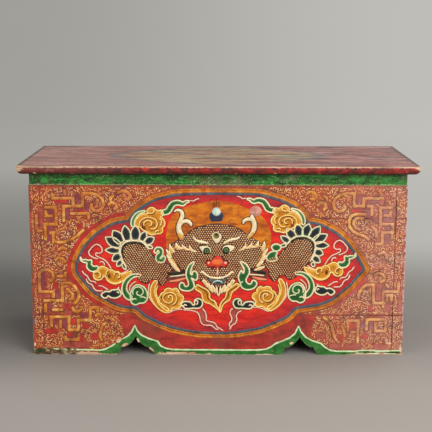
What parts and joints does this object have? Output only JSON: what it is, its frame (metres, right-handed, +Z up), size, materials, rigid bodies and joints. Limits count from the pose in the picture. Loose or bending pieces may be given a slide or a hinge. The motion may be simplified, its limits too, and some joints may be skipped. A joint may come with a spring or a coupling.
{
  "type": "altar chest",
  "caption": "Low painted wooden altar chest: board walls tongued into grooved corner posts, a cusped apron, a narrow top rail and an overhanging hinged lid.",
  "frame": {"origin": "on the floor, under the middle of the lid", "axes": "+Z up, +X along the length to the right as seen from the front, the front faces -Y"},
  "size_m": [0.948, 0.396, 0.4676],
  "materials": {
    "carcass_paint": "worn red paint on gesso",
    "rail_paint": "worn green paint",
    "lid_paint": "worn dark red paint",
    "bare_wood": "aged bare softwood",
    "forged_iron": "dark hand-forged iron"
  },
  "bodies": {
    "carcass": {"back_board_lower": "bare_wood", "back_board_upper": "bare_wood", "bottom_batten_left": "bare_wood", "bottom_batten_right": "bare_wood", "bottom_board_front": "bare_wood", "bottom_board_middle": "bare_wood", "bottom_board_rear": "bare_wood", "front_apron_board": "carcass_paint", "front_board_middle": "carcass_paint", "front_board_upper": "carcass_paint", "front_dowel_lower_left": "bare_wood", "front_dowel_lower_right": "bare_wood", "front_dowel_upper_left": "bare_wood", "front_dowel_upper_right": "bare_wood", "hinge_body_leaf_left": "forged_iron", "hinge_body_leaf_right": "forged_iron", "hinge_body_nail_left_a": "forged_iron", "hinge_body_nail_left_b": "forged_iron", "hinge_body_nail_right_a": "forged_iron", "hinge_body_nail_right_b": "forged_iron", "hinge_pin_left": "forged_iron", "hinge_pin_right": "forged_iron", "left_end_board_lower": "carcass_paint", "left_end_board_upper": "carcass_paint", "post_front_left": "carcass_paint", "post_front_right": "carcass_paint", "post_rear_left": "carcass_paint", "post_rear_right": "carcass_paint", "rail_back": "rail_paint", "rail_front": "rail_paint", "rail_left": "rail_paint", "rail_peg_front_left": "bare_wood", "rail_peg_front_right": "bare_wood", "rail_peg_rear_left": "bare_wood", "rail_peg_rear_right": "bare_wood", "rail_right": "rail_paint", "right_end_board_lower": "carcass_paint", "right_end_board_upper": "carcass_paint", "tongue_pin_apron_left": "bare_wood", "tongue_pin_apron_right": "bare_wood", "tongue_pin_back_left": "bare_wood", "tongue_pin_back_right": "bare_wood", "tongue_pin_front_left": "bare_wood", "tongue_pin_front_right": "bare_wood"},
    "lid": {"hinge_lid_leaf_left": "forged_iron", "hinge_lid_leaf_right": "forged_iron", "hinge_lid_nail_left_a": "forged_iron", "hinge_lid_nail_left_b": "forged_iron", "hinge_lid_nail_right_a": "forged_iron", "hinge_lid_nail_right_b": "forged_iron", "lid_batten_left": "bare_wood", "lid_batten_right": "bare_wood", "lid_dowel_left": "bare_wood", "lid_dowel_middle": "bare_wood", "lid_dowel_right": "bare_wood", "lid_front_board": "lid_paint", "lid_rear_board": "lid_paint"}
  },
  "joints": [
    {"name": "lid_hinge", "type": "hinge", "parent": "carcass", "child": "lid", "pos_m": [0, 0.1783, 0.4433], "axis": [-1, 0, 0], "range_deg": [0, 100]}
  ]
}
